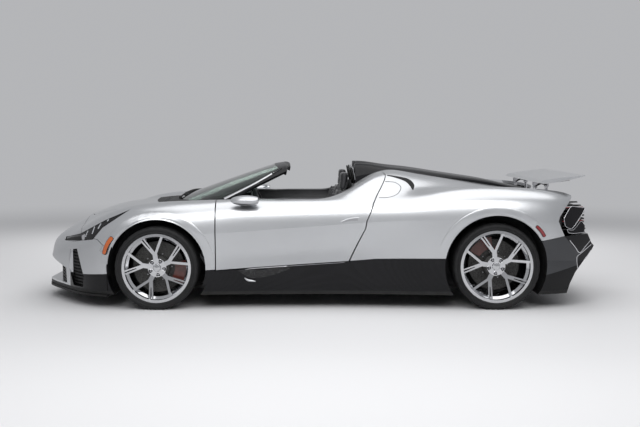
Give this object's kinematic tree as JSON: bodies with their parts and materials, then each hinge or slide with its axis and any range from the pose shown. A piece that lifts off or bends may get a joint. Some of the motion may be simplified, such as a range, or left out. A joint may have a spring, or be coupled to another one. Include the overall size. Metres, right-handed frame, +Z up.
{
  "type": "open roadster car",
  "caption": "Open mid-engined roadster with opening doors and bonnet, steered front wheels and a raised rear wing that lowers.",
  "frame": {"origin": "on the ground under the middle of the car's length and width", "axes": "+Z up, -X forward to the nose, -Y to the car's left side"},
  "size_m": [4.6108, 2.1, 1.1555],
  "materials": {
    "silver_paint": "satin silver",
    "black_gloss": "gloss black",
    "grey_bumper": "dark grey",
    "black_plastic": "matt black",
    "dark_structure": "dark grey",
    "glass": "dark green tint",
    "lamp_glass": "smoked",
    "amber_lens": "amber",
    "red_lens": "red",
    "chrome_wheel": "polished",
    "tyre_rubber": "black rubber",
    "brake_disc": "grey",
    "caliper_red": "dark red-brown",
    "suspension_metal": "cast",
    "engine_metal": "cast",
    "chrome_trim": "polished",
    "leather": "black",
    "steering_leather": "black"
  },
  "bodies": {
    "chassis": {"calipers_rear": "caliper_red", "centre_console": "leather", "cowl": "black_plastic", "dashboard": "leather", "engine_block": "engine_metal", "engine_cover": "black_gloss", "front_frame": "dark_structure", "front_grilles": "black_plastic", "front_splitter": "black_plastic", "front_suspension": "suspension_metal", "front_wings": "silver_paint", "headlamps": "lamp_glass", "marker_lamps_amber": "amber_lens", "marker_lamps_red": "red_lens", "nose": "silver_paint", "rear_bumper": "grey_bumper", "rear_deck": "dark_structure", "rear_frame": "dark_structure", "rear_louvres": "black_plastic", "rear_quarters": "silver_paint", "rear_suspension": "suspension_metal", "seat_left": "leather", "seat_right": "leather", "side_sills": "black_gloss", "steering_wheel": "steering_leather", "structure": "dark_structure", "tail_lamps": "red_lens", "tailpipes": "chrome_trim", "undertray": "black_plastic", "windscreen": "glass", "windscreen_frame": "black_gloss"},
    "door_left": {"door_left": "silver_paint", "mirror_left": "silver_paint"},
    "door_right": {"door_right": "silver_paint", "mirror_right": "silver_paint"},
    "bonnet": {"bonnet": "silver_paint"},
    "wing": {"wing_blade": "silver_paint", "wing_struts": "chrome_trim"},
    "knuckle_left": {"knuckle_left": "suspension_metal", "caliper_front_left": "caliper_red"},
    "knuckle_right": {"knuckle_right": "suspension_metal", "caliper_front_right": "caliper_red"},
    "wheel_front_left": {"wheel_front_left": "chrome_wheel", "tyre_front_left": "tyre_rubber", "disc_front_left": "brake_disc"},
    "wheel_front_right": {"wheel_front_right": "chrome_wheel", "tyre_front_right": "tyre_rubber", "disc_front_right": "brake_disc"},
    "wheel_rear_left": {"wheel_rear_left": "chrome_wheel", "tyre_rear_left": "tyre_rubber", "disc_rear_left": "brake_disc"},
    "wheel_rear_right": {"wheel_rear_right": "chrome_wheel", "tyre_rear_right": "tyre_rubber", "disc_rear_right": "brake_disc"}
  },
  "joints": [
    {"name": "steer_left", "type": "hinge", "parent": "chassis", "child": "knuckle_left", "pos_m": [-1.257, -0.7905, 0.333], "axis": [0, 0, 1], "range_deg": [-30, 30]},
    {"name": "spin_front_left", "type": "hinge", "parent": "knuckle_left", "child": "wheel_front_left", "pos_m": [-1.257, -0.8745, 0.333], "axis": [0, 1, 0], "continuous": true},
    {"name": "spin_rear_left", "type": "hinge", "parent": "chassis", "child": "wheel_rear_left", "pos_m": [1.454, -0.833, 0.345], "axis": [0, 1, 0], "continuous": true},
    {"name": "door_left", "type": "hinge", "parent": "chassis", "child": "door_left", "pos_m": [-0.785, -0.98, 0.6], "axis": [0, 0, -1], "range_deg": [0, 65]},
    {"name": "steer_right", "type": "hinge", "parent": "chassis", "child": "knuckle_right", "pos_m": [-1.257, 0.7905, 0.333], "axis": [0, 0, 1], "range_deg": [-30, 30]},
    {"name": "spin_front_right", "type": "hinge", "parent": "knuckle_right", "child": "wheel_front_right", "pos_m": [-1.257, 0.8745, 0.333], "axis": [0, 1, 0], "continuous": true},
    {"name": "spin_rear_right", "type": "hinge", "parent": "chassis", "child": "wheel_rear_right", "pos_m": [1.454, 0.833, 0.345], "axis": [0, 1, 0], "continuous": true},
    {"name": "door_right", "type": "hinge", "parent": "chassis", "child": "door_right", "pos_m": [-0.785, 0.98, 0.6], "axis": [0, 0, 1], "range_deg": [0, 65]},
    {"name": "bonnet_lift", "type": "hinge", "parent": "chassis", "child": "bonnet", "pos_m": [-1.262, 0, 0.855], "axis": [0, 1, 0], "range_deg": [0, 55]},
    {"name": "wing_raise", "type": "slide", "parent": "chassis", "child": "wing", "axis": [0, 0, 1], "range_m": [-0.095, 0]}
  ],
  "couplings": [
    {"joint": "steer_right", "follows": "steer_left", "ratio": 1}
  ]
}
